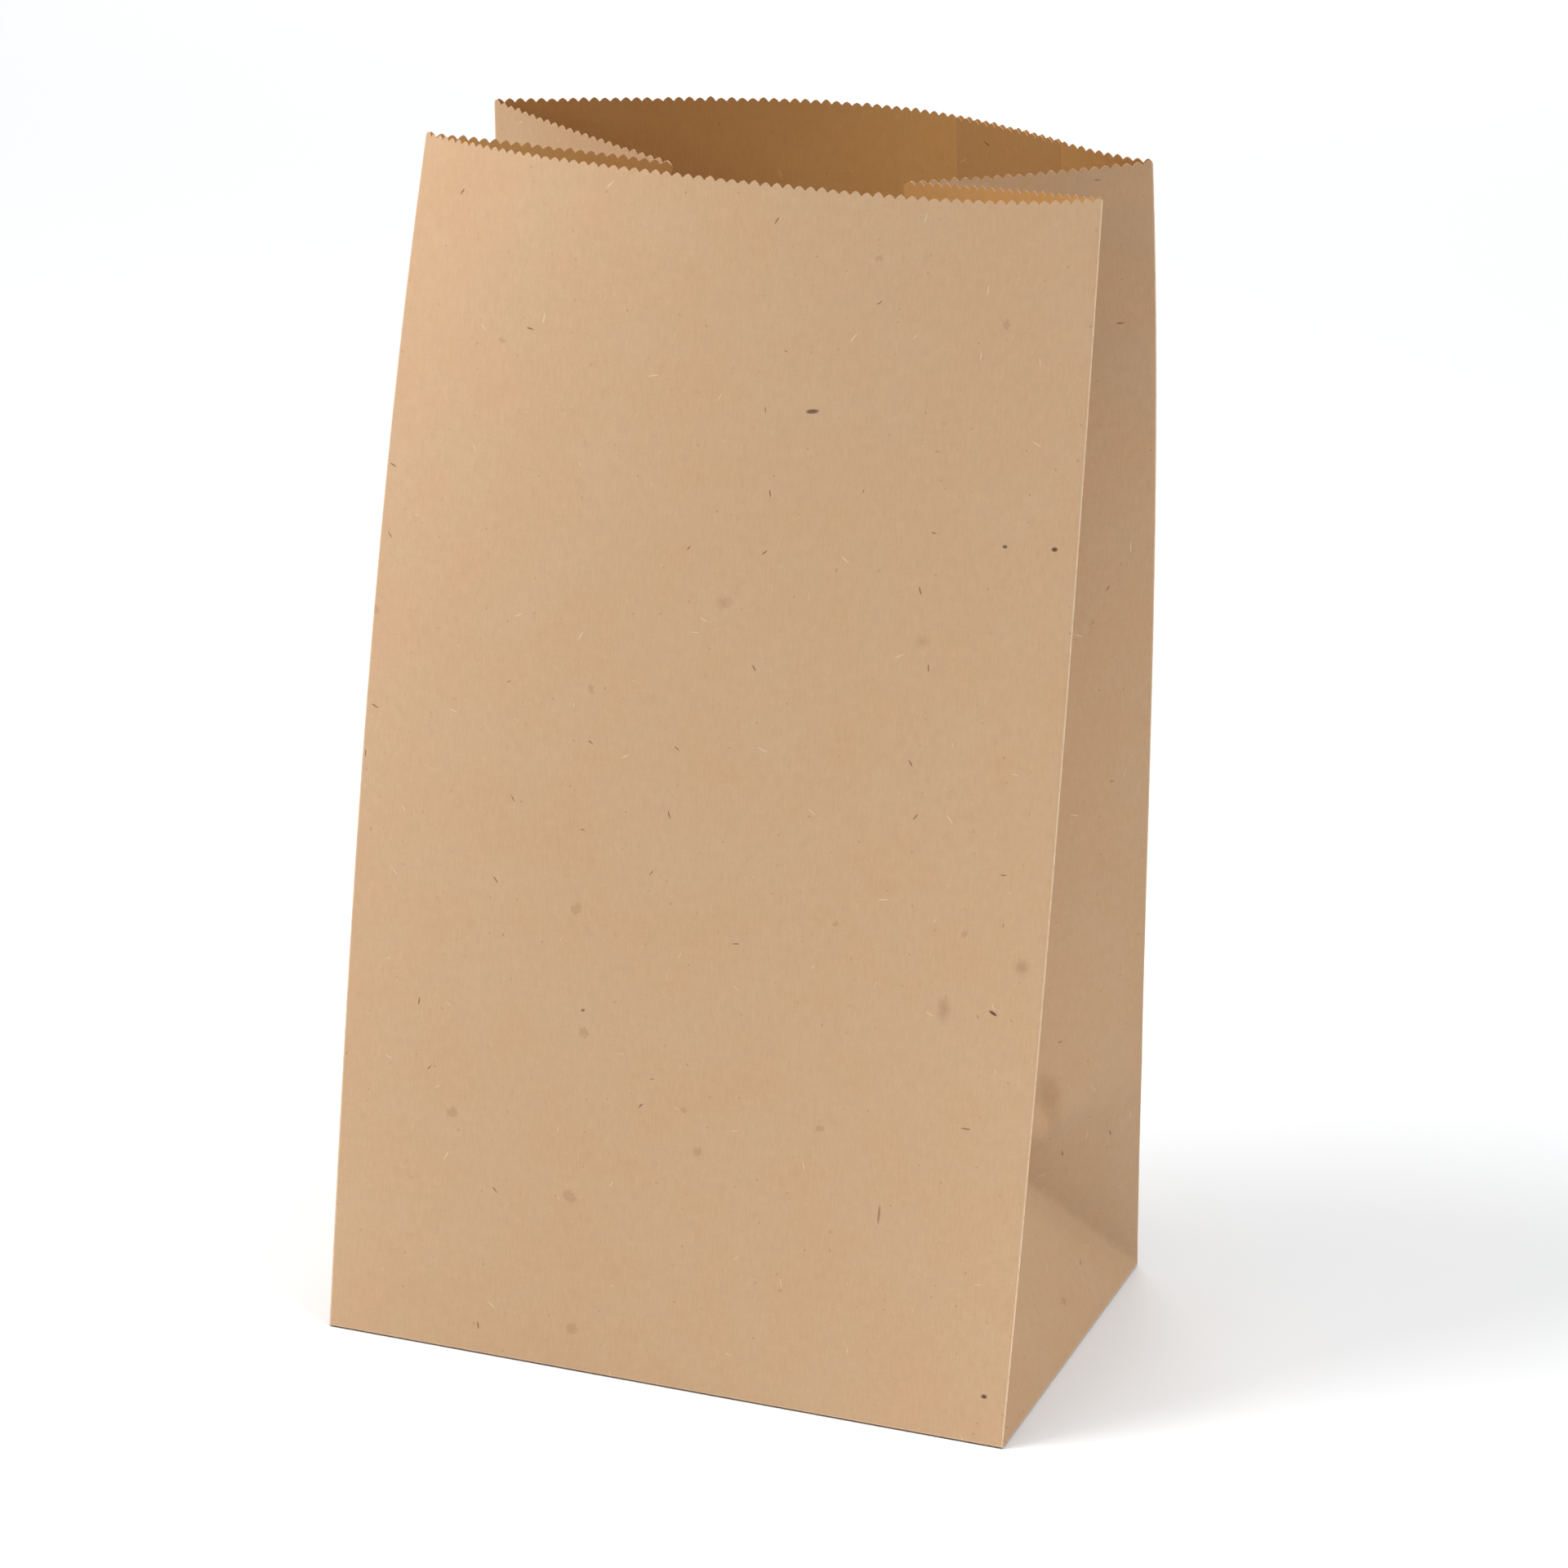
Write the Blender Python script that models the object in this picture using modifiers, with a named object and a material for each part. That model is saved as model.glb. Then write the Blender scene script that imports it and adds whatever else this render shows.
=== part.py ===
"""Brown paper lunch bag, standing open.

A glued tube of kraft paper with a gusset down each side, closed below by a folded
rectangular bottom and cut to a fine zigzag at the mouth. X runs across the front
panel, Y runs from front to back, and the origin is the middle of the base.
"""

import functools
import math

import bmesh
import bpy
from mathutils import Vector

# Driving dimensions, in metres
WIDTH = 0.150  # front and back panels
DEPTH = 0.100  # side panels
HEIGHT = 0.255  # paper from the base folds to the tips of the cut edge
PAPER = 0.00012  # thickness of one ply
FLAP = 0.062  # bottom flaps, past the base folds
HALF_DEPTH = DEPTH / 2  # a side panel folds in half along its gusset crease

# The cut edge
WIDE_TEETH = 68  # across the front or the back panel
HALF_SIDE_TEETH = 23  # across one leaf of a gusset
TOOTH_DEPTH = 0.00115

# The lengthwise glued seam, measured on the back panel from its right-hand fold
SEAM_OUTER = 0.022  # free edge of the outer ply
SEAM_INNER = 0.050  # free edge of the inner ply
SEAM_TAPER = 0.010  # where the inner ply is back in line with the panel

# Lean of the four upright folds towards the inside, in degrees: bottom, middle, top
LEAN = {
    "front_left": (6.2, 5.0, 10.9),
    "front_right": (9.8, 9.4, 8.7),
    "back_left": (6.6, 6.5, 13.4),
    "back_right": (9.1, 4.0, 13.3),
}
# Bulge of each wide panel at the mouth, as the coefficients of a polynomial across it
BOW = {"front": (0.0244, -0.0037, 0.0024), "back": (0.0237, 0.0, -0.014, -0.009)}
SWAY = {"front": 0.0020, "back": 0.0022}  # how far the mouth stands to the right
# How far the cut runs below square between the folds, as such coefficients
CUT_DIP = {"front": (0.0, 0.0025, 0.0030), "back": (0.0010, -0.0015)}
BASE_Z = 3 * PAPER  # the sheet's outer face lies on the plies of the folded flaps

# Fineness of the mesh
LOW_ROWS = 5  # rows up to the top of the folded bottom, and cells to a gusset leaf
HIGH_ROWS = 8  # rows from there to just below the cut edge
WIDE_CELLS = 12
COLLAR = 0.006  # plain strip below the teeth
PLAN_STEPS = 48
PLACE_DIGITS = 7  # places on the sheet that agree to this many decimals are one
CORNERS = 1e-6  # smallest difference that tells two places on the sheet apart

KRAFT = (0.56, 0.37, 0.23, 1.0)


def rows():
    """Places up the sheet, in metres of paper: base fold, rows, tooth roots, tooth tips."""
    low = [HALF_DEPTH * i / LOW_ROWS for i in range(LOW_ROWS + 1)]
    top = HEIGHT - TOOTH_DEPTH - COLLAR
    high = [HALF_DEPTH + (top - HALF_DEPTH) * i / HIGH_ROWS for i in range(1, HIGH_ROWS + 1)]
    return low + high + [HEIGHT - TOOTH_DEPTH, HEIGHT]


ROWS = rows()
COLLAR_ROW = len(ROWS) - 3
ROOT_ROW = len(ROWS) - 2
TIP_ROW = len(ROWS) - 1


def lean_at(fold, up):
    """Lean in radians, on a parabola through the bottom, middle and top values."""
    bottom, middle, top = LEAN[fold]
    t = up / HEIGHT
    return math.radians(
        bottom * (1 - t) * (1 - 2 * t) + middle * 4 * t * (1 - t) + top * t * (2 * t - 1)
    )


def inset_at(fold, up):
    """How far a fold has moved towards the inside at this place up the sheet."""
    steps = 40
    slices = (lean_at(fold, up * (i + 0.5) / steps) for i in range(steps))
    return sum(math.sin(angle) for angle in slices) * up / steps


def hump(coefficients, across):
    """A polynomial across a panel of unit width, taken down to nothing at both folds."""
    g = 2 * across - 1
    return 4 * across * (1 - across) * sum(c * g**power for power, c in enumerate(coefficients))


def plan_curve(panel, up):
    """Points across a wide panel at one level, seen from above, left to right.

    The curve bulges outwards in proportion to its place up the sheet, and its ends
    come together so that it keeps the panel's width.
    """
    outward = -1 if panel == "front" else 1
    left = outward * (HALF_DEPTH - inset_at(panel + "_left", up))
    right = outward * (HALF_DEPTH - inset_at(panel + "_right", up))
    centre = SWAY[panel] * (up / HEIGHT) ** 2
    chord = WIDTH
    for _ in range(8):
        points = []
        for i in range(PLAN_STEPS + 1):
            f = i / PLAN_STEPS
            y = left + (right - left) * f + outward * hump(BOW[panel], f) * up / HEIGHT
            points.append(Vector((centre + chord * (f - 0.5), y)))
        length = sum((b - a).length for a, b in zip(points, points[1:]))
        chord *= WIDTH / length
    return points


PLANS = {panel: [plan_curve(panel, up) for up in ROWS] for panel in BOW}


def along(points, distance):
    """The point this far along a chain of points."""
    for a, b in zip(points, points[1:]):
        step = (b - a).length
        if distance <= step:
            return a.lerp(b, distance / step)
        distance -= step
    return points[-1].copy()


@functools.lru_cache(maxsize=None)
def wide_column(panel, across):
    """Points up one vertical line of a wide panel, across metres from its left fold."""
    flat = [along(plan, across) for plan in PLANS[panel]]
    column = [Vector((*flat[0], BASE_Z))]
    for row in range(1, len(ROWS)):
        up = ROWS[row] - ROWS[row - 1]
        shift = (flat[row] - flat[row - 1]).length
        column.append(Vector((*flat[row], column[-1].z + math.sqrt(up**2 - shift**2))))
    for row in (ROOT_ROW, TIP_ROW):
        column[row].z -= hump(CUT_DIP[panel], across / WIDTH)
    return column


FOLDS = {
    (panel, side): wide_column(panel, 0 if side < 0 else WIDTH)
    for panel in BOW
    for side in (-1, 1)
}


def gusset_crease(side):
    """Points up the middle crease of a side panel, from the apex of the bottom triangle."""
    front, back = FOLDS["front", side], FOLDS["back", side]
    ends = front[LOW_ROWS], back[LOW_ROWS]
    heights = [(p.y**2 + (p.z - BASE_Z) ** 2) / (2 * (p.z - BASE_Z)) for p in ends]
    rise = sum(heights) / 2
    reach = math.sqrt(HALF_DEPTH**2 - rise**2)
    crease = [Vector((side * (WIDTH / 2 - reach), 0, BASE_Z + rise))]
    for row in range(LOW_ROWS + 1, len(ROWS)):
        up = ROWS[row] - ROWS[row - 1]
        middle = (front[row] + back[row]) / 2
        span = back[row] - front[row]
        reach = math.sqrt(HALF_DEPTH**2 - (span.length / 2) ** 2)
        inward = Vector((-side * span.y, side * span.x, 0)).normalized()
        upward = span.normalized().cross(inward) * side * -1
        z = crease[-1].z + up
        for _ in range(4):
            drop = (z - middle.z) / (reach * upward.z)
            point = middle + reach * (math.sqrt(1 - drop**2) * inward + drop * upward)
            shift = (point - crease[-1]).xy.length
            z = crease[-1].z + math.sqrt(up**2 - shift**2)
        crease.append(point)
    return crease


CREASES = {side: gusset_crease(side) for side in (-1, 1)}


def side_point(side, across, row):
    """A point of a side panel, across metres from its front fold."""
    front, back = FOLDS["front", side][row], FOLDS["back", side][row]
    up = ROWS[row]
    if row >= LOW_ROWS:
        crease = CREASES[side][row - LOW_ROWS]
        if across <= HALF_DEPTH:
            return front.lerp(crease, across / HALF_DEPTH)
        return crease.lerp(back, across / HALF_DEPTH - 1)
    apex = CREASES[side][0]
    near = FOLDS["front", side][0].lerp(apex, up / HALF_DEPTH)
    far = FOLDS["back", side][0].lerp(apex, up / HALF_DEPTH)
    if across < up - CORNERS:
        return front.lerp(near, across / up)
    if across > DEPTH - up + CORNERS:
        return far.lerp(back, (across - DEPTH + up) / up)
    return near.lerp(far, (across - up) / (DEPTH - 2 * up))


def seam_place(across):
    """(step inwards, plies) of the back panel, across metres from its right-hand fold."""
    if across <= SEAM_OUTER:
        return PAPER * min(1, across / SEAM_TAPER), 1
    return 0, 2 if across <= SEAM_INNER else 1


def sheet_point(panel, across, row):
    """(outer face, plies) at a place on the sheet, going round the bag anticlockwise."""
    if panel == "front":
        return wide_column("front", across)[row], 1
    if panel == "right":
        return side_point(1, across, row), 1
    if panel == "left":
        return side_point(-1, DEPTH - across, row), 1
    point = wide_column("back", WIDTH - across)[row]
    step, plies = seam_place(across)
    return point - Vector((0, step if row else 0, 0)), plies


def stations(panel, fine):
    """Places across a panel: the coarse grid's, or each tooth's root."""
    wide = panel in BOW
    width = WIDTH if wide else DEPTH
    if fine:
        count = WIDE_TEETH if wide else 2 * HALF_SIDE_TEETH
    else:
        count = WIDE_CELLS if wide else 2 * LOW_ROWS
    places = {width * i / count for i in range(count)}
    if panel == "back" and not fine:
        places |= {SEAM_TAPER, SEAM_OUTER, SEAM_OUTER + PAPER, SEAM_INNER, SEAM_INNER + PAPER}
    return sorted({round(place, PLACE_DIGITS) for place in places})


PANELS = ("front", "right", "back", "left")
PANEL_WIDTH = {"front": WIDTH, "right": DEPTH, "back": WIDTH, "left": DEPTH}


def ring(mesh, plies, row, fine=False, shift=0.0):
    """One closed row of vertices, each with its distance round the bag."""
    found = []
    start = 0.0
    for panel in PANELS:
        for across in stations(panel, fine):
            half = shift * (stations(panel, fine)[1] - stations(panel, fine)[0])
            point, count = sheet_point(panel, across + half, row)
            vertex = mesh.verts.new(point)
            vertex[plies] = count
            found.append((start + across, vertex))
        start += PANEL_WIDTH[panel]
    return found


def zip_rings(mesh, lower, upper):
    """Triangles between two closed rows with different numbers of vertices."""
    girth = 2 * (WIDTH + DEPTH)
    lower = lower + [(girth, lower[0][1])]
    upper = upper + [(girth, upper[0][1])]
    i = j = 0
    while i < len(lower) - 1 or j < len(upper) - 1:
        if j == len(upper) - 1 or (i < len(lower) - 1 and lower[i + 1][0] <= upper[j + 1][0]):
            mesh.faces.new((lower[i][1], lower[i + 1][1], upper[j][1]))
            i += 1
        else:
            mesh.faces.new((lower[i][1], upper[j + 1][1], upper[j][1]))
            j += 1


def wall(mesh, lower, upper, row):
    """Faces between two rows with equal vertices, split along the bottom's diagonal creases."""
    count = len(lower)
    for i in range(count):
        a, b = lower[i][1], lower[(i + 1) % count][1]
        c, d = upper[(i + 1) % count][1], upper[i][1]
        across = crease_side(lower[i][0])
        if row < LOW_ROWS and across is not None:
            if across < HALF_DEPTH - CORNERS:
                mesh.faces.new((a, b, c))
                mesh.faces.new((a, c, d))
            else:
                mesh.faces.new((a, b, d))
                mesh.faces.new((b, c, d))
        else:
            mesh.faces.new((a, b, c, d))


def crease_side(distance):
    """Distance across a side panel for a place round the bag, or None on a wide panel."""
    for start in (WIDTH, 2 * WIDTH + DEPTH):
        if start - CORNERS <= distance < start + DEPTH - CORNERS:
            return distance - start
    return None


def floor(mesh, base):
    """The bottom of the sheet, in strips from the left base fold to the right one."""
    levels = {}
    for _, vertex in base:
        levels.setdefault(round(vertex.co.y, PLACE_DIGITS), []).append(vertex)
    strips = [sorted(levels[y], key=lambda vertex: vertex.co.x) for y in sorted(levels)]
    for near, far in zip(strips, strips[1:]):
        mesh.faces.new(far + near[::-1])


def sheet(collection, material):
    """The whole sheet as an open surface of its outer face, thickened inwards."""
    mesh = bmesh.new()
    plies = mesh.verts.layers.float.new("plies")
    rings = [ring(mesh, plies, row) for row in range(COLLAR_ROW + 1)]
    for row, (lower, upper) in enumerate(zip(rings, rings[1:])):
        wall(mesh, lower, upper, row)
    floor(mesh, rings[0])
    roots = ring(mesh, plies, ROOT_ROW, fine=True)
    tips = ring(mesh, plies, TIP_ROW, fine=True, shift=0.5)
    zip_rings(mesh, rings[-1], roots)
    for i, (_, root) in enumerate(roots):
        mesh.faces.new((root, roots[(i + 1) % len(roots)][1], tips[i][1]))
    counts = [vertex[plies] for vertex in mesh.verts]
    data = bpy.data.meshes.new("paper_bag")
    mesh.to_mesh(data)
    mesh.free()
    bag = bpy.data.objects.new("paper_bag", data)
    bag.data.materials.append(material)
    collection.objects.link(bag)
    group = bag.vertex_groups.new(name="plies")
    for index, count in enumerate(counts):
        group.add([index], count / 2, "REPLACE")
    thicken = bag.modifiers.new("paper", "SOLIDIFY")
    thicken.thickness = 2 * PAPER
    thicken.offset = -1
    thicken.use_even_offset = True
    thicken.vertex_group = group.name
    return bag


def ply(name, collection, outline, bottom, top):
    """A flat folded ply of the bottom, as an extruded outline that is joined to the sheet."""
    mesh = bmesh.new()
    face = mesh.faces.new([mesh.verts.new((x, y, bottom)) for x, y in outline])
    raised = bmesh.ops.extrude_face_region(mesh, geom=[face])
    lifted = [item for item in raised["geom"] if isinstance(item, bmesh.types.BMVert)]
    bmesh.ops.translate(mesh, verts=lifted, vec=(0, 0, top - bottom))
    bmesh.ops.recalc_face_normals(mesh, faces=mesh.faces)
    data = bpy.data.meshes.new(name)
    mesh.to_mesh(data)
    mesh.free()
    piece = bpy.data.objects.new(name, data)
    piece.hide_render = True
    piece.display_type = "WIRE"
    collection.objects.link(piece)
    return piece


def trapezoid(outward, inset, tuck):
    """A front or back flap, folded at 45 degrees from both corners of the base."""
    long_half, short_half = WIDTH / 2 - inset - tuck, WIDTH / 2 - FLAP - tuck
    edge, reach = HALF_DEPTH - inset, HALF_DEPTH - FLAP
    return [
        (-long_half, outward * edge),
        (long_half, outward * edge),
        (short_half, outward * reach),
        (-short_half, outward * reach),
    ]


def side_flap(side, inset):
    """The flap of a side panel, which lies over the others inside the bag."""
    near, far = side * (WIDTH / 2 - FLAP), side * (WIDTH / 2 - inset)
    edge = HALF_DEPTH - inset
    return [(near, -edge), (far, -edge), (far, edge), (near, edge)]


def folded_bottom(bag, helpers):
    """Joins the flaps' plies to the sheet, above and below its floor."""
    fold_radius = 0.0003
    tuck = 0.0003  # the front flap's folds lie this far inside the back flap's
    inside_clearance = 0.0010
    into_floor = BASE_Z + 0.4 * PAPER
    top = BASE_Z + 2 * PAPER
    pieces = [
        ply("back_flap", helpers, trapezoid(1, fold_radius, 0), 0, into_floor),
        ply("front_flap", helpers, trapezoid(-1, fold_radius, tuck), PAPER, into_floor),
    ]
    for side, name in ((-1, "left_flap"), (1, "right_flap")):
        outline = side_flap(side, inside_clearance)
        pieces.append(ply(name, helpers, outline, BASE_Z + 0.6 * PAPER, top))
    for piece in pieces:
        join = bag.modifiers.new(piece.name, "BOOLEAN")
        join.operation = "UNION"
        join.object = piece


def kraft_material():
    material = bpy.data.materials.new("kraft_paper")
    material.use_nodes = True
    shader = material.node_tree.nodes["Principled BSDF"]
    shader.inputs["Base Color"].default_value = KRAFT
    shader.inputs["Roughness"].default_value = 0.85
    shader.inputs["Metallic"].default_value = 0.0
    return material


def main():
    for item in list(bpy.data.objects):
        bpy.data.objects.remove(item, do_unlink=True)
    collection = bpy.data.collections.new("paper_lunch_bag")
    helpers = bpy.data.collections.new("folded_plies")
    for made in (collection, helpers):
        bpy.context.scene.collection.children.link(made)
    bag = sheet(collection, kraft_material())
    folded_bottom(bag, helpers)


main()
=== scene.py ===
"""Looks of the brown paper lunch bag.

The bag is one sheet of kraft paper: a strip that runs round the four panels and overlaps
itself at the glued seam, with a flap under each panel that is folded in to close the
bottom. The sheet's form repeats the CAD part's formulas on a finer grid, and adds the
rounded folds, the dents, the parted seam and the paper itself.
"""

import math

import bpy
import numpy as np
from mathutils import Matrix, Vector


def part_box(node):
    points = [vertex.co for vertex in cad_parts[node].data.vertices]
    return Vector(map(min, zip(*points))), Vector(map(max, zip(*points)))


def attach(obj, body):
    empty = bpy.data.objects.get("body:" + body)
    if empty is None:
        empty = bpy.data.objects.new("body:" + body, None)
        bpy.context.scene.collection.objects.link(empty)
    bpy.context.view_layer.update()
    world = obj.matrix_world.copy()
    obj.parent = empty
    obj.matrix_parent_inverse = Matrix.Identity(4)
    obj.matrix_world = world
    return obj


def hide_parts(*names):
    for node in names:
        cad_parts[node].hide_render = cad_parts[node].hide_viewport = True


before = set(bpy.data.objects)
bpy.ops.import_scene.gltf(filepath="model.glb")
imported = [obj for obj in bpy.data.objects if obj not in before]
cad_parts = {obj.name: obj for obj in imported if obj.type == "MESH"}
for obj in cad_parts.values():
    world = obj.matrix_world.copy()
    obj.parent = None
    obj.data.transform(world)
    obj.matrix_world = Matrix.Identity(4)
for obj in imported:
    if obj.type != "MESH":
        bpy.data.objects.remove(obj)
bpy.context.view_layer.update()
LOW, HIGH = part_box("paper_bag")

# Driving dimensions, in metres, as in the CAD part
WIDTH = round(HIGH.x - LOW.x, 4)  # front and back panels
DEPTH = round(HIGH.y - LOW.y, 4)  # side panels
HALF_DEPTH = DEPTH / 2
HEIGHT = 0.255  # paper from the base folds to the tips of the cut edge
PAPER = 0.00012  # thickness of one ply
FLAP = 0.062  # bottom flaps, past the base folds
BASE_Z = 3 * PAPER
WIDE_TEETH = 68
HALF_SIDE_TEETH = 23
TOOTH_DEPTH = 0.0009  # the CAD part's are a little deeper; worn points read shallower
SEAM_OUTER = 0.022  # free edge of the outer ply, from the back panel's right-hand fold
SEAM_INNER = 0.050  # free edge of the inner ply
SEAM_TAPER = 0.010

# The CAD part's form: leans in degrees, bulges and the cut's dip as polynomials across
LEAN = {
    "front_left": (6.2, 5.0, 10.9),
    "front_right": (9.8, 9.4, 8.7),
    "back_left": (6.6, 6.5, 13.4),
    "back_right": (9.1, 4.0, 13.3),
}
BOW = {"front": (0.0244, -0.0037, 0.0024), "back": (0.0237, 0.0, -0.014, -0.009)}
SWAY = {"front": 0.0020, "back": 0.0022}
CUT_DIP = {"front": (0.0, 0.0025, 0.0030), "back": (0.0010, -0.0015)}

# Fineness of the mesh
FOLD_STRIP = 0.0003  # half-width of the rounded strip along a fold
BASE_CELLS = 2 * HALF_SIDE_TEETH  # rows up the folded bottom, one to each half tooth
KNEE_ROWS = 12  # the same spacing goes on this far above it
HIGH_ROWS = 36
COLLAR = 0.006  # plain strip below the teeth, where the grid gets finer
FINE_COLLAR = 0.0014
BESIDE_FOLD = 0.0011  # one more station this far from each fold
PLAN_STEPS = 240
PLACE_DIGITS = 7

# Paper coordinates
FRONT_START = WIDTH - SEAM_OUTER + DEPTH  # the strip starts at the outer ply's free edge
MM = 1000.0


def lean_at(fold, up):
    """Lean in radians, on a parabola through the bottom, middle and top values."""
    bottom, middle, top = LEAN[fold]
    t = up / HEIGHT
    return np.radians(
        bottom * (1 - t) * (1 - 2 * t) + middle * 4 * t * (1 - t) + top * t * (2 * t - 1)
    )


def inset_at(fold, up):
    """How far a fold has moved towards the inside at this place up the sheet."""
    steps = 40
    slices = lean_at(fold, up * (np.arange(steps) + 0.5) / steps)
    return float(np.sin(slices).sum()) * up / steps


def hump(coefficients, across):
    """A polynomial across a panel of unit width, taken down to nothing at both folds."""
    g = 2 * across - 1
    return 4 * across * (1 - across) * sum(c * g**power for power, c in enumerate(coefficients))


def row_places():
    """Places up the sheet: the folded bottom, the plain wall and the collar below the teeth."""
    low = [HALF_DEPTH * i / BASE_CELLS for i in range(BASE_CELLS + 1)]
    low.insert(1, FOLD_STRIP)
    knee = [HALF_DEPTH * (1 + i / BASE_CELLS) for i in range(1, KNEE_ROWS + 1)]
    top = HEIGHT - TOOTH_DEPTH - COLLAR
    high = [knee[-1] + (top - knee[-1]) * i / HIGH_ROWS for i in range(1, HIGH_ROWS + 1)]
    return np.array(low + knee + high + [HEIGHT - TOOTH_DEPTH - FINE_COLLAR])


ROWS = row_places()
CREASE_ROW = BASE_CELLS + 1  # the row at the top of the folded bottom
COLLAR_ROW = len(ROWS) - 2
FINE_ROW = len(ROWS) - 1


def stations(panel):
    """(places across a panel, which of them the plain wall uses), from the finest grid."""
    wide = panel in BOW
    width = WIDTH if wide else DEPTH
    teeth = WIDE_TEETH if wide else 2 * HALF_SIDE_TEETH
    step = 4 if wide else 2
    cells = 4 * teeth
    places = {round(width * i / cells, PLACE_DIGITS): i % step == 0 for i in range(cells + 1)}
    for place in (FOLD_STRIP, BESIDE_FOLD, width - BESIDE_FOLD, width - FOLD_STRIP):
        places[round(place, PLACE_DIGITS)] = True
    if panel == "back":
        for edge in (SEAM_OUTER, SEAM_INNER, SEAM_TAPER):
            places[round(edge, PLACE_DIGITS)] = True
    ordered = sorted(places)
    return np.array(ordered), np.array([places[place] for place in ordered])


PANELS = ("front", "right", "back", "left")
STATIONS = {panel: stations(panel) for panel in PANELS}


def wide_panel(panel):
    """Points of a wide panel as rows by stations, from its left fold to its right one."""
    outward = -1 if panel == "front" else 1
    places = STATIONS[panel][0]
    if panel == "back":
        places = (WIDTH - places)[::-1]
    f = np.linspace(0, 1, PLAN_STEPS + 1)
    rows = []
    for up in ROWS:
        left = outward * (HALF_DEPTH - inset_at(panel + "_left", up))
        right = outward * (HALF_DEPTH - inset_at(panel + "_right", up))
        y = left + (right - left) * f + outward * hump(BOW[panel], f) * up / HEIGHT
        chord = WIDTH
        for _ in range(8):
            lengths = np.hypot(chord / PLAN_STEPS, np.diff(y))
            chord *= WIDTH / lengths.sum()
        x = SWAY[panel] * (up / HEIGHT) ** 2 + chord * (f - 0.5)
        reached = np.concatenate([[0], np.cumsum(np.hypot(np.diff(x), np.diff(y)))])
        rows.append(np.stack([np.interp(places, reached, x), np.interp(places, reached, y)], 1))
    flat = np.array(rows)
    shift = np.linalg.norm(np.diff(flat, axis=0), axis=2)
    rise = np.sqrt(np.diff(ROWS)[:, None] ** 2 - shift**2)
    z = BASE_Z + np.concatenate([np.zeros((1, len(places))), np.cumsum(rise, axis=0)])
    points = np.dstack([flat, z])
    return points if panel == "front" else points[:, ::-1]


WIDE = {panel: wide_panel(panel) for panel in BOW}
# Upright folds by panel and side; the back panel's stations run from its right-hand fold
FOLDS = {
    ("front", -1): WIDE["front"][:, 0],
    ("front", 1): WIDE["front"][:, -1],
    ("back", 1): WIDE["back"][:, 0],
    ("back", -1): WIDE["back"][:, -1],
}


def gusset_crease(side):
    """Points up the middle crease of a side panel, from the apex of the bottom triangle."""
    front, back = FOLDS["front", side], FOLDS["back", side]
    ends = front[CREASE_ROW], back[CREASE_ROW]
    rise = sum((p[1] ** 2 + (p[2] - BASE_Z) ** 2) / (2 * (p[2] - BASE_Z)) for p in ends) / 2
    reach = math.sqrt(HALF_DEPTH**2 - rise**2)
    crease = [np.array([side * (WIDTH / 2 - reach), 0, BASE_Z + rise])]
    picked = [int(np.searchsorted(ROWS, HALF_DEPTH + 0.0335 * i)) for i in range(1, 7)]
    picked.insert(0, CREASE_ROW)
    for last, row in zip(picked, picked[1:]):
        up = ROWS[row] - ROWS[last]
        middle = (front[row] + back[row]) / 2
        span = back[row] - front[row]
        length = np.linalg.norm(span)
        reach = math.sqrt(HALF_DEPTH**2 - (length / 2) ** 2)
        inward = np.array([-side * span[1], side * span[0], 0]) / math.hypot(span[0], span[1])
        upward = np.cross(span / length, inward) * -side
        z = crease[-1][2] + up
        for _ in range(4):
            drop = (z - middle[2]) / (reach * upward[2])
            point = middle + reach * (math.sqrt(1 - drop**2) * inward + drop * upward)
            shift = np.linalg.norm((point - crease[-1])[:2])
            z = crease[-1][2] + math.sqrt(up**2 - shift**2)
        crease.append(point)
    curve = np.polyfit(ROWS[picked], np.array(crease), 5)
    points = np.vander(ROWS[CREASE_ROW:], 6) @ curve
    points[0] = crease[0]
    return points


CREASES = {side: gusset_crease(side) for side in (-1, 1)}


def mix(a, b, share):
    """Points on the way from a to b, one for each share."""
    share = np.asarray(share)[:, None]
    return a[None] * (1 - share) + b[None] * share


def side_panel(side):
    """Points of a side panel as rows by stations, from its front fold to its back one."""
    places = STATIONS["right"][0]
    front, back = FOLDS["front", side], FOLDS["back", side]
    apex = CREASES[side][0]
    rows = []
    for row, up in enumerate(ROWS):
        if row >= CREASE_ROW:
            crease = CREASES[side][row - CREASE_ROW]
            near = mix(front[row], crease, places / HALF_DEPTH)
            far = mix(crease, back[row], places / HALF_DEPTH - 1)
            rows.append(np.where(places[:, None] <= HALF_DEPTH, near, far))
            continue
        left = front[0] + (apex - front[0]) * up / HALF_DEPTH
        right = back[0] + (apex - back[0]) * up / HALF_DEPTH
        level = mix(left, right, (places - up) / (DEPTH - 2 * up))
        if row:
            near = mix(front[row], left, places / up)
            far = mix(right, back[row], (places - DEPTH + up) / up)
            level = np.where(places[:, None] < up, near, level)
            level = np.where(places[:, None] > DEPTH - up, far, level)
        rows.append(level)
    return np.array(rows)


# Each panel's points as rows by stations, going round the bag anticlockwise
SURFACE = {
    "front": WIDE["front"],
    "right": side_panel(1),
    "back": WIDE["back"],
    "left": side_panel(-1)[:, ::-1],
}


# Levels of the folded bottom's outer faces, from the outermost flap inwards
LAP = 1.25 * PAPER  # from one ply's outer face to the next one's
FLAP_LEVEL = {"back": 0.0, "front": 2 * LAP, "left": 3 * LAP, "right": 3 * LAP}
FLAP_TURN = 0.0004  # the base fold's radius
FLAP_ROWS = 9

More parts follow.
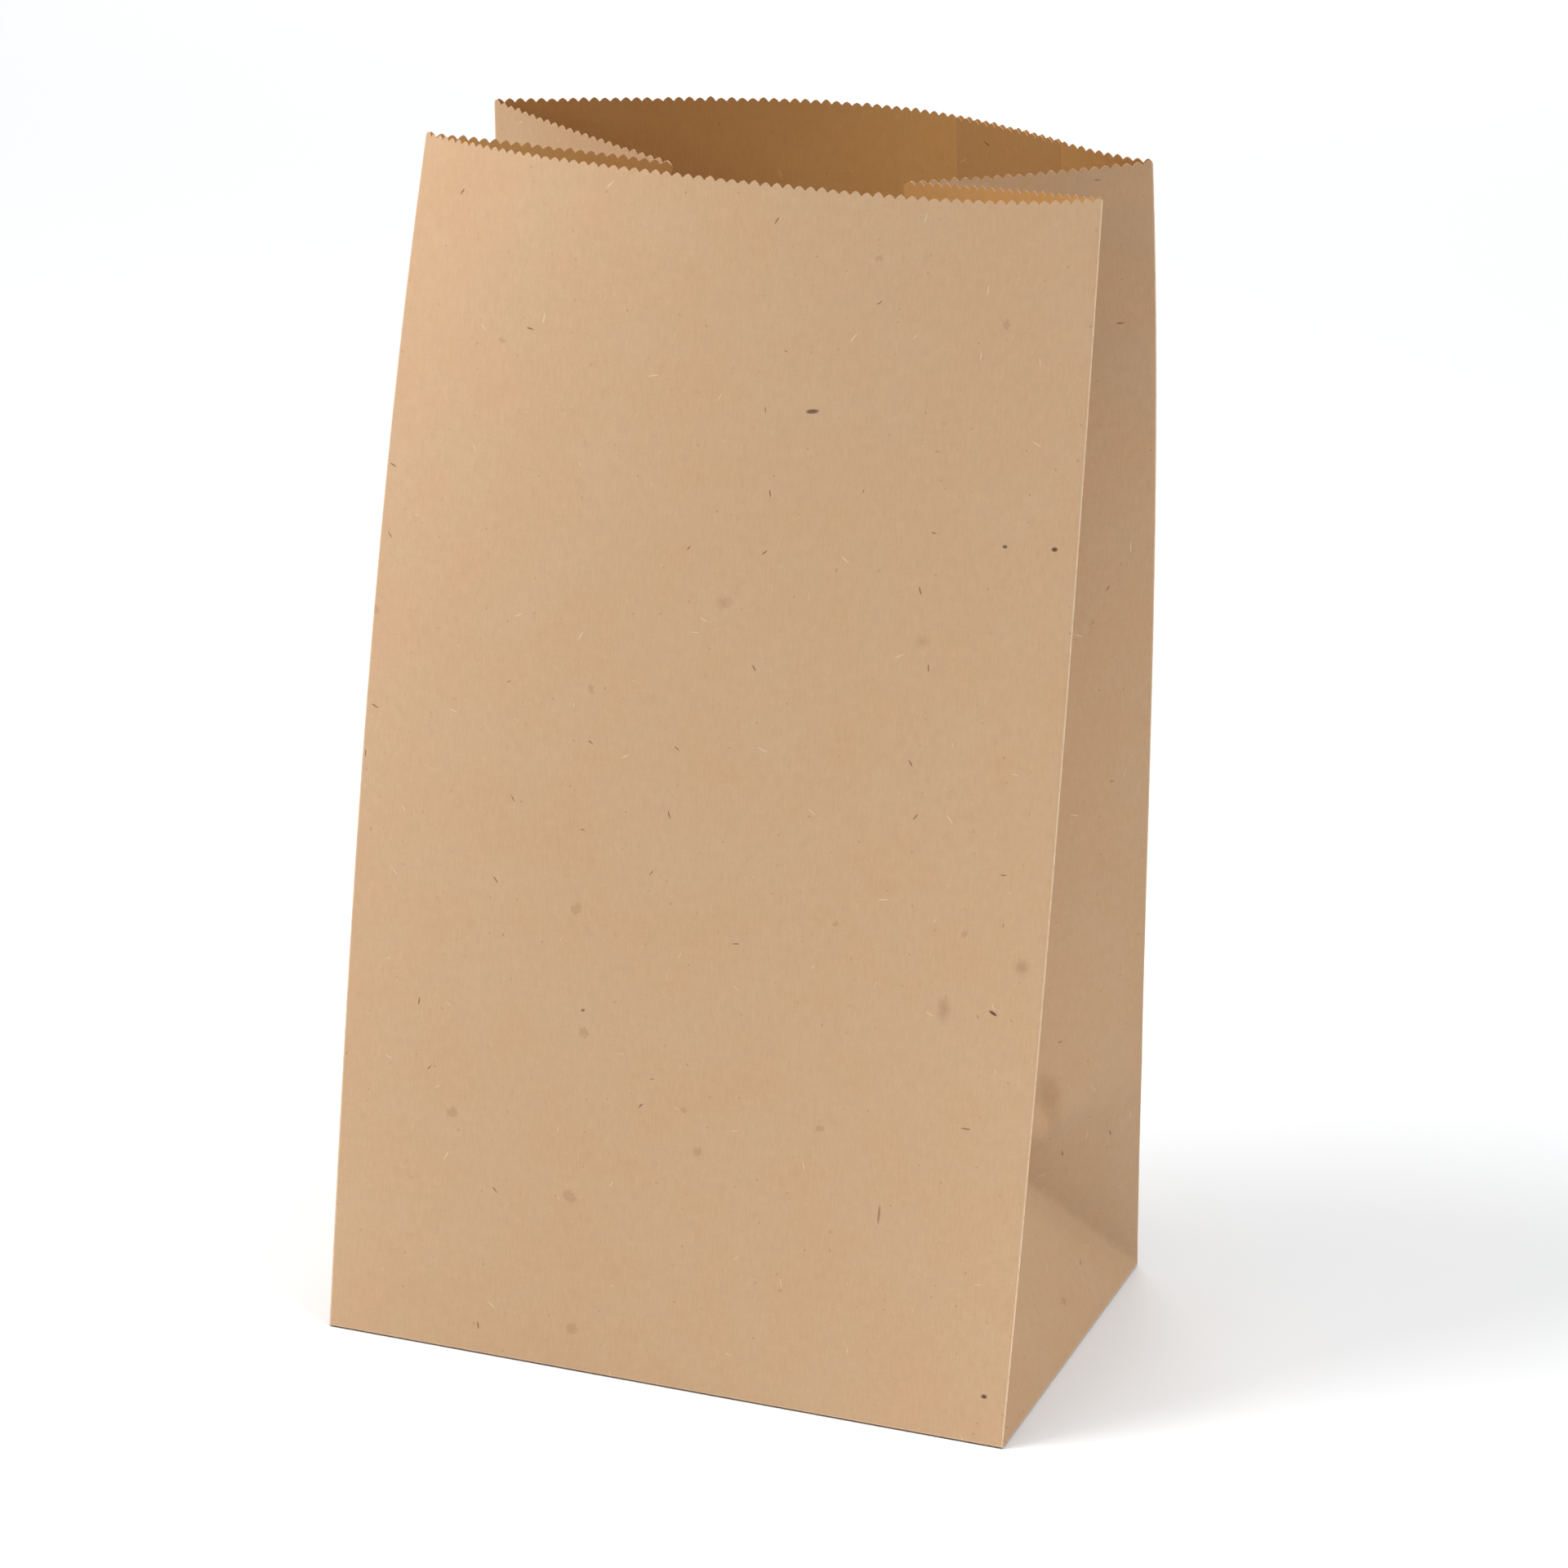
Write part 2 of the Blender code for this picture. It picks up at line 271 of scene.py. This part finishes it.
# Dents and curves that the CAD part leaves out
MOUTH_PARTING = 0.0009  # the seam's plies stand this far apart at the mouth
PARTING_DEPTH = 0.030
BACK_RIDGE = 0.0006  # the crease across the back panel, level with the folded bottom's top
LEAF_BULGE = {"left": 0.0012, "right": 0.0016}
LEAF_KNEE = {"left": 0.0012, "right": 0.0042}  # outwards, at the crease where the bottom folds up
KNEE_DROP = 0.0045  # the crease runs down by this much towards the back fold
KNEE_REACH = 0.050
DENT = (0.0685, 0.0525)  # place of the dent in the right side's back leaf


def smooth_step(x):
    x = np.clip(x, 0, 1)
    return x * x * (3 - 2 * x)


def grid_normals(points):
    """Unit normals of a grid of rows by stations, pointing out of the bag."""
    normals = np.cross(np.gradient(points, axis=1), np.gradient(points, axis=0))
    return normals / np.linalg.norm(normals, axis=2, keepdims=True)


def relief(panel, across, up):
    """How far the paper stands out from the CAD part's form, in metres."""
    out = np.zeros(np.broadcast(across, up).shape)
    if panel == "back":
        out += BACK_RIDGE * np.exp(-(((up - HALF_DEPTH) / 0.004) ** 2))
    if panel in LEAF_BULGE:
        leaf = np.abs(across - HALF_DEPTH) / HALF_DEPTH
        high = smooth_step((up - HALF_DEPTH) / 0.06)
        out += LEAF_BULGE[panel] * 4 * leaf * (1 - leaf) * high
        out += LEAF_KNEE[panel] * knee(panel, across, up)
    if panel == "right":
        off = np.hypot((across - DENT[0]) / 0.0030, (up - DENT[1]) / 0.0048)
        out += 0.0004 * np.exp(-(((off - 1.5) / 0.5) ** 2)) - 0.0020 * np.exp(-(off**2))
    return out


def knee(panel, across, up):
    """The back leaf's bend where the folded bottom ends, from 0 at its edges to 1."""
    leaf = (across if panel == "right" else DEPTH - across) / HALF_DEPTH - 1
    leaf = np.clip(leaf, 0, 1)
    crease = HALF_DEPTH - KNEE_DROP * leaf
    diagonal = HALF_DEPTH * (1 - leaf)
    below = np.clip((up - diagonal) / np.maximum(crease - diagonal, 0.002), 0, 1)
    above = 1 - smooth_step((up - crease) / KNEE_REACH)
    return np.where(up < crease, below, above) * np.sin(math.pi * leaf) ** 0.7


def strip_parts():
    """The strip's stretches in order: panel, points, places across, start, plain-wall mask."""
    outer = STATIONS["back"][0] >= SEAM_OUTER - 1e-7
    inner = STATIONS["back"][0] <= SEAM_INNER + 1e-7
    everything = slice(None)
    parts = []
    start = -SEAM_OUTER
    wanted = (("back", outer), ("left", everything), ("front", everything))
    for panel, mask in (*wanted, ("right", everything), ("back", inner)):
        places, plain = STATIONS[panel]
        points = SURFACE[panel] + 0.0
        points += grid_normals(points) * relief(panel, places[None], ROWS[:, None])[..., None]
        parts.append((panel, points[:, mask], places[mask], start, plain[mask]))
        start += WIDTH if panel in BOW else DEPTH
    return parts


def part_plies(points, places):
    """Sets the seam's inner ply inwards, by a ply's thickness and a little more at the mouth."""
    inwards = LAP * np.minimum(1, places / SEAM_TAPER)[None]
    near_mouth = smooth_step((ROWS - HEIGHT + PARTING_DEPTH) / PARTING_DEPTH)[:, None]
    along = smooth_step(places / SEAM_INNER)[None]
    inwards = inwards + MOUTH_PARTING * near_mouth * along
    return points - grid_normals(points) * inwards[..., None]


def whole_strip():
    """(points, distance along the strip, plain-wall mask, ranges of columns by stretch)."""
    points, along, plain, ranges = [], [], [], []
    parts = strip_parts()
    for i, (panel, grid, places, start, mask) in enumerate(parts):
        if i == len(parts) - 1:
            grid = part_plies(grid, places)
        if i:
            # Both panels' points along a fold are averaged
            points[-1][:, -1] = (points[-1][:, -1] + grid[:, 0]) / 2
            grid, places, mask = grid[:, 1:], places[1:], mask[1:]
        first = sum(p.shape[1] for p in points) - (1 if i else 0)
        points.append(grid)
        along.append(start + places)
        plain.append(mask)
        ranges.append((panel, first, first + grid.shape[1] + (1 if i else 0)))
    points = np.concatenate(points, 1)
    for _, first, _ in ranges[1:]:
        around = points[:, first - 1] + points[:, first + 1]
        points[:, first] = points[:, first] / 2 + around / 4
    return points, np.concatenate(along), np.concatenate(plain), ranges


class Sheet:
    """The sheet's vertices, faces and paper coordinates while they are being made."""

    def __init__(self):
        self.points = []
        self.paper = []
        self.faces = []

    def row(self, points, along, up, paper=None):
        """Adds one row of vertices and returns [(distance along the strip, vertex)]."""
        first = len(self.points)
        self.points.extend(map(tuple, points))
        paper = along if paper is None else paper
        self.paper.extend(zip(paper.tolist(), np.broadcast_to(up, len(along)).tolist()))
        return [(place, first + i) for i, place in enumerate(along.tolist())]

    def join(self, lower, upper):
        """Faces between two rows, which may have different numbers of vertices."""
        if len(lower) == len(upper):
            for (_, a), (_, b), (_, c), (_, d) in zip(lower, lower[1:], upper[1:], upper):
                self.faces.append((a, b, c, d))
            return
        i = j = 0
        while i < len(lower) - 1 or j < len(upper) - 1:
            step_low = i < len(lower) - 1 and (
                j == len(upper) - 1 or lower[i + 1][0] <= upper[j + 1][0] + 1e-9
            )
            if step_low:
                self.faces.append((lower[i][1], lower[i + 1][1], upper[j][1]))
                i += 1
            else:
                self.faces.append((lower[i][1], upper[j + 1][1], upper[j][1]))
                j += 1


SIDE_PITCH = HALF_DEPTH / HALF_SIDE_TEETH
WIDE_PITCH = WIDTH / WIDE_TEETH


def tooth_heights(along, ranges, seed):
    """How far each fine station reaches up its tooth, from 0 at a root to 1 at a tip."""
    phase = np.zeros(len(along))
    for i, (panel, first, last) in enumerate(ranges):
        start = along[0] - SEAM_OUTER if i == 0 else along[first]
        pitch = WIDE_PITCH if panel in BOW else SIDE_PITCH
        phase[first:last] = (along[first:last] - start) / pitch
    tooth = np.floor(phase + 1e-4)
    height = np.clip(1 - np.abs(2 * (phase - tooth) - 1), 0, 1)
    rounded = np.sin(height * math.pi / 2) ** 1.15
    wear = np.random.default_rng(seed).normal(1.0, 0.09, 997)
    return rounded * wear[tooth.astype(int) * 7 % len(wear)]


def cut_dips(along, ranges):
    """How far the cut edge runs below square at each station."""
    dips = np.zeros(len(along))
    for panel, first, last in ranges:
        if panel in CUT_DIP:
            start = along[first] if first else -SEAM_OUTER
            across = (along[first:last] - start) / WIDTH
            across = across if panel == "front" else 1 - across
            dips[first:last] = hump(CUT_DIP[panel], across)
    return dips


def wall(sheet, points, along, plain, ranges):
    """Adds the four panels and the seam's lap, and returns the row along the base folds."""
    rows = [
        sheet.row(points[i][plain], along[plain], ROWS[i]) for i in range(COLLAR_ROW + 1)
    ]
    dips = cut_dips(along, ranges)
    uphill = points[FINE_ROW] - points[COLLAR_ROW]
    uphill /= np.linalg.norm(uphill, axis=1, keepdims=True)
    fine = points[FINE_ROW] - uphill * dips[:, None]
    rows.append(sheet.row(fine, along, ROWS[FINE_ROW] - dips))
    heights = tooth_heights(along, ranges, seed=3)
    above = FINE_COLLAR + TOOTH_DEPTH * heights
    rows.append(sheet.row(fine + uphill * above[:, None], along, ROWS[FINE_ROW] - dips + above))
    for lower, upper in zip(rows, rows[1:]):
        sheet.join(lower, upper)
    return rows[0]


def flap_points(panel, base, level, distance):
    """Points of a bottom flap this far past its base fold, below the given base points."""
    turn = max(0.0, 1 - distance / FLAP_TURN) ** 2
    points = base.copy()
    points[:, 2] = level + (BASE_Z - level) * turn
    if panel in BOW:
        points[:, 0] *= 1 - distance / (WIDTH / 2)
        points[:, 1] -= np.sign(points[:, 1]) * distance
    else:
        points[:, 0] -= np.sign(points[:, 0]) * distance
        points[:, 1] *= 1 - FOLD_STRIP / HALF_DEPTH * min(1, distance / FLAP_TURN)
    return points


def flap(sheet, panel, base_row, base, along, plain, level, seed):
    """Adds a bottom flap below a stretch of the strip, with its own cut end."""
    end = FLAP - TOOTH_DEPTH - FINE_COLLAR
    turn = [FLAP_TURN * share for share in (0.25, 0.6, 1.0)]
    rest = [FLAP_TURN + (end - FLAP_TURN) * i / FLAP_ROWS for i in range(1, FLAP_ROWS + 1)]
    distances = turn + rest
    middle = (along[0] + along[-1]) / 2

    def paper(distance):
        squeeze = 1 - distance / (WIDTH / 2) if panel in BOW else 1
        return middle + (along - middle) * squeeze

    upper = base_row
    for distance in distances[:-1]:
        points = flap_points(panel, base, level, distance)[plain]
        lower = sheet.row(points, along[plain], -distance, paper(distance)[plain])
        sheet.join(lower, upper)
        upper = lower
    points = flap_points(panel, base, level, end)
    lower = sheet.row(points, along, -end, paper(end))
    sheet.join(lower, upper)
    pitch = WIDE_PITCH if panel in BOW else SIDE_PITCH
    phase = (along - along[0]) / pitch
    chance = np.random.default_rng(seed).normal(1.0, 0.09, int(phase[-1]) + 2)
    height = (1 - np.abs(2 * (phase % 1) - 1)) * chance[phase.astype(int)]
    reach = end + FINE_COLLAR + TOOTH_DEPTH * height
    tips = points.copy()
    axis = 1 if panel in BOW else 0
    tips[:, axis] -= np.sign(base[:, axis]) * (reach - end)
    sheet.join(sheet.row(tips, along, -reach, paper(end)), lower)


def bag_mesh():
    """The sheet's outer face as one open mesh, with paper coordinates as its UV map."""
    points, along, plain, ranges = whole_strip()
    sheet = Sheet()
    base_row = wall(sheet, points, along, plain, ranges)
    columns = np.cumsum(plain) - 1
    for seed, (panel, first, last) in enumerate(ranges):
        inner = seed == len(ranges) - 1
        level = LAP if inner else FLAP_LEVEL[panel]
        stretch = slice(first, last)
        below = base_row[columns[first] : columns[last - 1] + 1]
        flap(sheet, panel, below, points[0][stretch], along[stretch], plain[stretch], level, seed)
    mesh = bpy.data.meshes.new("kraft_bag")
    mesh.from_pydata(sheet.points, [], sheet.faces)
    corners = np.empty(len(mesh.loops), np.int32)
    mesh.loops.foreach_get("vertex_index", corners)
    paper = mesh.uv_layers.new(name="paper")
    paper.uv.foreach_set("vector", np.array(sheet.paper, np.float32)[corners].ravel())
    return mesh


def thickened(name, mesh):
    """The mesh as a sheet with the paper's thickness, inwards from its outer face."""
    outer = bpy.data.objects.new(name, mesh)
    bpy.context.scene.collection.objects.link(outer)
    thicken = outer.modifiers.new("paper", "SOLIDIFY")
    thicken.thickness = PAPER
    thicken.offset = -1
    thicken.use_even_offset = True
    thicken.thickness_clamp = 2.0
    thicken.material_offset = 1
    graph = bpy.context.evaluated_depsgraph_get()
    solid = bpy.data.meshes.new_from_object(outer.evaluated_get(graph))
    outer.modifiers.clear()
    outer.data = solid
    solid.shade_smooth()
    solid.set_sharp_from_angle(angle=math.radians(75))
    return outer


class Shader:
    """Short calls for building a material's nodes."""

    def __init__(self, name):
        self.material = bpy.data.materials.new(name)
        self.material.use_nodes = True
        self.tree = self.material.node_tree
        self.surface = self.tree.nodes["Principled BSDF"]

    def node(self, kind, *inputs, **settings):
        """Adds a node and returns its first output; inputs are sockets or values in order."""
        made = self.tree.nodes.new("ShaderNode" + kind)
        named = {key: settings.pop(key) for key in list(settings) if not hasattr(made, key)}
        for key, value in settings.items():
            setattr(made, key, value)
        pairs = list(enumerate(inputs))
        pairs += [(key.replace("_", " "), value) for key, value in named.items()]
        for key, value in pairs:
            if isinstance(value, bpy.types.NodeSocket):
                self.tree.links.new(value, made.inputs[key])
            else:
                made.inputs[key].default_value = value
        return made.outputs[0]

    def math(self, operation, *inputs, clamp=False):
        return self.node("Math", *inputs, operation=operation, use_clamp=clamp)

    def vector(self, operation, *inputs):
        return self.node("VectorMath", *inputs, operation=operation)

    def length(self, vector):
        """A vector's length, which the node gives as its second output."""
        return self.vector("LENGTH", vector).node.outputs[1]

    def noise(self, place, scale, detail=2.0, roughness=0.5, stretch=(1, 1, 1)):
        """Noise around 0.5 in the paper's millimetres, stretched along an axis."""
        scaled = self.vector("MULTIPLY", place, stretch)
        return self.node(
            "TexNoise", Vector=scaled, Scale=scale, Detail=detail, Roughness=roughness
        )

    def steps(self, value, low, high, from_value=0.0, to_value=1.0):
        """A smooth step of the value, from one result to another."""
        return self.node(
            "MapRange",
            Value=value,
            interpolation_type="SMOOTHSTEP",
            From_Min=low,
            From_Max=high,
            To_Min=from_value,
            To_Max=to_value,
        )

    def blend(self, share, first, second, kind="MIX"):
        """A mix of two colours."""
        made = self.tree.nodes.new("ShaderNodeMix")
        made.data_type = "RGBA"
        made.blend_type = kind
        for key, value in ((0, share), (6, first), (7, second)):
            if isinstance(value, bpy.types.NodeSocket):
                self.tree.links.new(value, made.inputs[key])
            else:
                made.inputs[key].default_value = value
        return made.outputs[2]


KRAFT_WARM = (0.562, 0.357, 0.206, 1)
KRAFT_COOL = (0.545, 0.359, 0.213, 1)
INSIDE_PAINTED_SHADE = (1.0, 0.82, 0.48, 1)  # painted shade: the inside is made browner and darker for light bounced inside the bag
# Pale of the worn folds, partly a painted highlight along them
FOLD_WEAR_AND_HIGHLIGHT = (0.80, 0.60, 0.42, 1)
FLECK_DARK = (0.07, 0.035, 0.02, 1)
# Brown of the spots and specks, also used for the painted shade on the doubled paper inside
SPOT_AND_SHADE_BROWN = (0.30, 0.17, 0.09, 1)
FIBRE_PALE = (0.85, 0.72, 0.55, 1)
FOLD_STARTS = (WIDTH - SEAM_OUTER, FRONT_START, FRONT_START + WIDTH, FRONT_START + WIDTH + DEPTH)
FOLD_LINES = tuple(MM * start for start in FOLD_STARTS)
LAP_START = FOLD_LINES[-1] + MM * SEAM_OUTER  # from here the paper is doubled

# A few larger marks on the front panel, placed to 5 mm, in mm from its left fold
# and its base fold: (across, up, length, width, turn in degrees, strength)
FLECKS = (
    (95, 210, 2.5, 0.9, 8, 0.8),
    (15, 245, 1.7, 0.4, 50, 0.7),
    (145, 185, 1.2, 0.9, 0, 0.9),
    (135, 185, 1.0, 0.7, 0, 0.8),
    (55, 80, 0.9, 0.6, 20, 0.7),
    (120, 45, 4.0, 0.5, 88, 0.5),
    (145, 10, 1.2, 0.9, 0, 0.9),
    (140, 90, 1.8, 0.6, -30, 0.9),
)
SPOTS = (
    (80, 170, 2.6, 2.2, 0, 0.35),
    (120, 165, 2.4, 2.0, 0, 0.30),
    (130, 90, 4.2, 2.0, 90, 0.50),
    (145, 100, 3.0, 2.4, 90, 0.50),
)


def scattered(make, place, cell, share, length, width, seed):
    """A mask of flecks, one at most to a cell, each with its own turn and size, in mm."""
    shifted = make.vector("ADD", place, (seed * 31.7, seed * 17.3, 0))
    made = make.tree.nodes.new("ShaderNodeTexVoronoi")
    made.voronoi_dimensions = "2D"
    made.inputs["Scale"].default_value = 1 / cell
    made.inputs["Randomness"].default_value = 0.9
    make.tree.links.new(shifted, made.inputs["Vector"])
    offset = make.vector("SUBTRACT", shifted, made.outputs["Position"])
    chance = make.node("SeparateXYZ", made.outputs["Color"])
    green, blue = chance.node.outputs[1], chance.node.outputs[2]
    turn = make.math("MULTIPLY", green, math.pi)
    turned = make.node("VectorRotate", offset, rotation_type="Z_AXIS", Angle=turn)
    size = make.math("MULTIPLY_ADD", blue, 0.7, 0.5)
    wobble = make.noise(place, 1.4, detail=1)
    bent = make.vector("MULTIPLY_ADD", wobble, (width, width, 0), turned)
    scaled = make.vector("MULTIPLY", bent, (1 / length, 1 / width, 0))
    reach = make.math("DIVIDE", make.length(scaled), size)
    chosen = make.math("LESS_THAN", chance, share)
    return make.math("MULTIPLY", make.steps(reach, 0.35, 0.62, 1.0, 0.0), chosen)


def single_fleck(make, place, across, up, length, width, turn, soft):
    """A mask of one fleck on the front panel, in mm and degrees."""
    offset = make.vector("SUBTRACT", place, (MM * FRONT_START + across, up, 0))
    turned = make.node("VectorRotate", offset, rotation_type="Z_AXIS", Angle=-math.radians(turn))
    scaled = make.vector("MULTIPLY", turned, (1 / length, 1 / width, 0))
    reach = make.length(scaled)
    reach = make.math("MULTIPLY_ADD", make.noise(place, 1.1, detail=2), soft, reach)
    return make.steps(reach, 0.38 - soft / 4, 0.6 + soft, 1.0, 0.0)


def kraft_material(name, painted_shade_tint, lap_painted_shade):
    """Kraft paper: clouded and fibrous, with dark flecks, pale fibres, folds worn pale with a
    painted highlight, and painted shade for the inside and the doubled paper.
    """
    make = Shader(name)
    paper = make.node("UVMap", uv_map="paper")
    place = make.vector("MULTIPLY", paper, (MM, MM, 0))
    clouds = make.noise(place, 0.055, detail=3, roughness=0.6)
    mottle = make.noise(place, 0.45, detail=3, roughness=0.65)
    grain = make.noise(place, 1.0, detail=3, roughness=0.6, stretch=(2.6, 0.28, 1))
    fine = make.noise(place, 3.4, detail=2, roughness=0.7, stretch=(1, 0.55, 1))
    bent = make.vector("MULTIPLY_ADD", make.noise(place, 0.35, detail=2), (3.0, 3.0, 0), place)
    ridge = make.noise(bent, 0.9, detail=1, stretch=(1.3, 0.55, 1))
    hair = make.steps(make.math("ABSOLUTE", make.math("SUBTRACT", ridge, 0.5)), 0.0, 0.012, 1.0, 0.0)

    colour = make.blend(make.steps(clouds, 0.35, 0.65), KRAFT_WARM, KRAFT_COOL)
    shade = make.math("MULTIPLY_ADD", clouds, 0.10, 0.95)
    shade = make.math("MULTIPLY_ADD", mottle, 0.13, make.math("SUBTRACT", shade, 0.065))
    shade = make.math("MULTIPLY_ADD", grain, 0.16, make.math("SUBTRACT", shade, 0.08))
    shade = make.math("MULTIPLY_ADD", fine, 0.12, make.math("SUBTRACT", shade, 0.06))
    shade = make.math("MULTIPLY_ADD", hair, 0.035, shade)
    shades = make.node("CombineColor", shade, shade, shade)
    colour = make.blend(1.0, colour, shades, "MULTIPLY")

    spots = scattered(make, place, 26, 0.25, 2.6, 2.0, 1)
    colour = make.blend(make.math("MULTIPLY", spots, 0.30), colour, SPOT_AND_SHADE_BROWN)
    specks = scattered(make, place, 5.5, 0.35, 0.42, 0.30, 2)
    colour = make.blend(make.math("MULTIPLY", specks, 0.55), colour, SPOT_AND_SHADE_BROWN)
    flecks = scattered(make, place, 17, 0.33, 1.6, 0.28, 3)
    colour = make.blend(make.math("MULTIPLY", flecks, 0.72), colour, FLECK_DARK)
    pale = scattered(make, place, 13, 0.30, 1.9, 0.16, 4)
    colour = make.blend(make.math("MULTIPLY", pale, 0.5), colour, FIBRE_PALE)
    for across, up, length, width, turn, strength in FLECKS:
        mask = single_fleck(make, place, across, up, length, width, turn, 0.1)
        colour = make.blend(make.math("MULTIPLY", mask, strength), colour, FLECK_DARK)
    for across, up, length, width, turn, strength in SPOTS:
        mask = single_fleck(make, place, across, up, length, width, turn, 0.7)
        colour = make.blend(make.math("MULTIPLY", mask, strength), colour, SPOT_AND_SHADE_BROWN)

    # The folds are worn pale along their very edge, with a painted highlight added for the light the
    # rounded fold catches
    along = make.node("SeparateXYZ", place)
    up = along.node.outputs[1]
    nearest = None
    for line in FOLD_LINES:
        gap = make.math("ABSOLUTE", make.math("SUBTRACT", along, line))
        nearest = gap if nearest is None else make.math("MINIMUM", nearest, gap)
    above_base = make.math("GREATER_THAN", up, 0.0)
    rubbed_and_highlight = make.math("MULTIPLY", make.steps(nearest, 0.20, 0.55, 1.0, 0.0), above_base)
    base_edge = make.steps(make.math("ABSOLUTE", up), 0.1, 0.35, 1.0, 0.0)
    rubbed_and_highlight = make.math("MAXIMUM", rubbed_and_highlight, make.math("MULTIPLY", base_edge, 0.4))
    broken = make.steps(make.noise(place, 0.5, detail=2), 0.30, 0.55)
    rubbed_and_highlight = make.math("MULTIPLY", rubbed_and_highlight, make.math("MULTIPLY_ADD", broken, 0.35, 0.5))
    colour = make.blend(rubbed_and_highlight, colour, FOLD_WEAR_AND_HIGHLIGHT)
    # Painted shade: the inside's colour is multiplied by a browner, darker colour
    colour = make.blend(1.0, colour, painted_shade_tint, "MULTIPLY")
    # Painted shade where the paper is doubled, for the light that two plies hold back
    lap = make.math("GREATER_THAN", along, LAP_START)
    colour = make.blend(make.math("MULTIPLY", lap, lap_painted_shade), colour, SPOT_AND_SHADE_BROWN)
    make.tree.links.new(colour, make.surface.inputs["Base Color"])

    rough = make.math("MULTIPLY_ADD", mottle, 0.16, 0.66)
    make.tree.links.new(rough, make.surface.inputs["Roughness"])
    make.surface.inputs["Specular IOR Level"].default_value = 0.28
    height = make.math("MULTIPLY_ADD", grain, 0.5, make.math("MULTIPLY", fine, 0.6))
    height = make.math("MULTIPLY_ADD", hair, 0.12, height)
    height = make.math("MULTIPLY_ADD", mottle, 0.8, height)
    bump = make.tree.nodes.new("ShaderNodeBump")
    bump.inputs["Strength"].default_value = 0.35
    bump.inputs["Distance"].default_value = 0.00010
    make.tree.links.new(height, bump.inputs["Height"])
    make.tree.links.new(bump.outputs[0], make.surface.inputs["Normal"])
    return make.material


# The stage, in metres, degrees, millimetres of lens and watts
FLOOR_SIZE = 12.0
FLOOR_GAP = 0.00005
CAMERA_PLACE = (0.3583, -1.0320, 0.4985)
CAMERA_TURN = (18.85, 19.24, 1.91)  # to the left, down, and roll
CAMERA_LENS = 126.9
SURROUND = 0.1
LIGHT_AIM = (0, 0, 0.12)
LIGHTS = (
    ("key", (-1.26, -0.88, 1.96), 1.0, 23),
    ("near_key", (-0.50, -0.28, 0.80), 0.5, 3.4),
    ("front", (-0.77, -2.12, 0.94), 1.0, 6),
    ("right", (1.47, -0.48, 1.96), 1.0, 31),
    ("top", (0, 0, 2.5), 1.0, 28),
)
BACKDROP_LIGHT = (-0.8, 3.0, 1.6)  # keeps the floor behind the bag white


def bag():
    """The bag as one piece, with the paper's outside and its inside, a copy with painted shade, as
    its two materials.
    """
    mesh = bag_mesh()
    mesh.materials.append(kraft_material("kraft_paper", (1, 1, 1, 1), 0.0))
    # The inside is the same paper, with painted shade
    mesh.materials.append(kraft_material("kraft_paper_inside_painted_shade", INSIDE_PAINTED_SHADE, 0.16))
    piece = thickened("kraft_bag", mesh)
    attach(piece, "root")
    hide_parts("paper_bag")


def floor():
    """A pale plane, a hair below the bag's lowest ply so that the two don't coincide."""
    half = FLOOR_SIZE / 2
    corners = [(-half, -half, 0), (half, -half, 0), (half, half, 0), (-half, half, 0)]
    mesh = bpy.data.meshes.new("floor")
    mesh.from_pydata(corners, [], [(0, 1, 2, 3)])
    made = bpy.data.objects.new("floor", mesh)
    bpy.context.scene.collection.objects.link(made)
    made.location.z = -FLOOR_GAP
    material = bpy.data.materials.new("floor_white")
    material.use_nodes = True
    shader = material.node_tree.nodes["Principled BSDF"]
    shader.inputs["Base Color"].default_value = (0.71, 0.72, 0.73, 1)
    shader.inputs["Roughness"].default_value = 0.9
    shader.inputs["Specular IOR Level"].default_value = 0.1
    mesh.materials.append(material)


def camera():
    """The camera in front of the bag, to its right and looking down on it."""
    yaw, pitch, roll = (math.radians(angle) for angle in CAMERA_TURN)
    data = bpy.data.cameras.new("camera")
    data.lens = CAMERA_LENS
    made = bpy.data.objects.new("camera", data)
    bpy.context.scene.collection.objects.link(made)
    turn = Matrix.Rotation(yaw, 4, "Z") @ Matrix.Rotation(math.pi / 2 - pitch, 4, "X")
    made.matrix_world = (
        Matrix.Translation(CAMERA_PLACE) @ turn @ Matrix.Rotation(roll, 4, "Z")
    )
    bpy.context.scene.camera = made


def soft_light(name, place, aim, size, power):
    """A round area light, with its diameter in metres and its power in watts."""
    data = bpy.data.lights.new(name, "AREA")
    data.shape = "DISK"
    data.size = size
    data.energy = power
    made = bpy.data.objects.new(name, data)
    bpy.context.scene.collection.objects.link(made)
    made.location = place
    away = made.location - Vector(aim)
    made.rotation_euler = away.to_track_quat("Z", "Y").to_euler()


def studio():
    """A faint white surround and soft lights, the strongest from above and both sides."""
    world = bpy.data.worlds.new("surround")
    bpy.context.scene.world = world
    world.use_nodes = True
    background = world.node_tree.nodes["Background"]
    background.inputs["Color"].default_value = (1, 1, 1, 1)
    background.inputs["Strength"].default_value = SURROUND
    for name, place, size, power in LIGHTS:
        soft_light(name, place, LIGHT_AIM, size, power)
    x, y, _ = BACKDROP_LIGHT
    soft_light("backdrop", BACKDROP_LIGHT, (x, y, 0), 3.0, 75)
    bpy.context.scene.view_settings.view_transform = "Standard"


bag()
floor()
studio()
camera()
